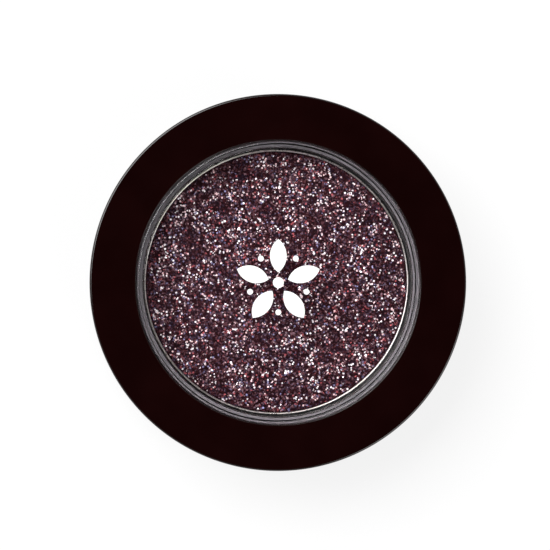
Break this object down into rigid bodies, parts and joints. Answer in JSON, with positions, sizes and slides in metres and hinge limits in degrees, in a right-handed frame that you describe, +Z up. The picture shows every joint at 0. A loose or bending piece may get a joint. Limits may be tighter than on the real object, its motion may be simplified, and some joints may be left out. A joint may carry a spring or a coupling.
{
  "type": "eyeshadow compact",
  "caption": "Round single-pan eyeshadow compact: glossy black case, hinged lid with a clear round window, metal pan of pressed glitter powder, snap catch and thumb recess",
  "frame": {"origin": "middle of the foot, on the surface that the case stands on", "axes": "+Z up through the window, hinge at +Y, thumb recess at -Y, +X to the right seen from the front"},
  "size_m": [0.052, 0.052, 0.0135],
  "materials": {
    "case_plastic": "high gloss near-black moulding with a slight maroon cast",
    "tray_plastic": "satin black moulding",
    "clear_plastic": "polished clear moulding",
    "white_ink": "thin screen-printed ink",
    "pan_metal": "pressed bright aluminium",
    "powder": "pressed dark plum powder full of coarse glitter",
    "glue": "set hot-melt glue",
    "pin_steel": "drawn steel wire",
    "label_paper": "plain satin label"
  },
  "bodies": {
    "base": {"base_shell": "case_plastic", "base_tray": "tray_plastic", "pan_glue": "glue", "pan": "pan_metal", "eyeshadow": "powder", "hinge_pin": "pin_steel", "base_label": "label_paper"},
    "lid": {"lid_frame": "case_plastic", "lid_inner_ring": "tray_plastic", "window_lens": "clear_plastic", "window_emblem": "white_ink"}
  },
  "joints": [
    {"name": "lid_hinge", "type": "hinge", "parent": "base", "child": "lid", "pos_m": [0, 0.02435, 0.0072], "axis": [-1, 0, 0], "range_deg": [0, 105]}
  ]
}
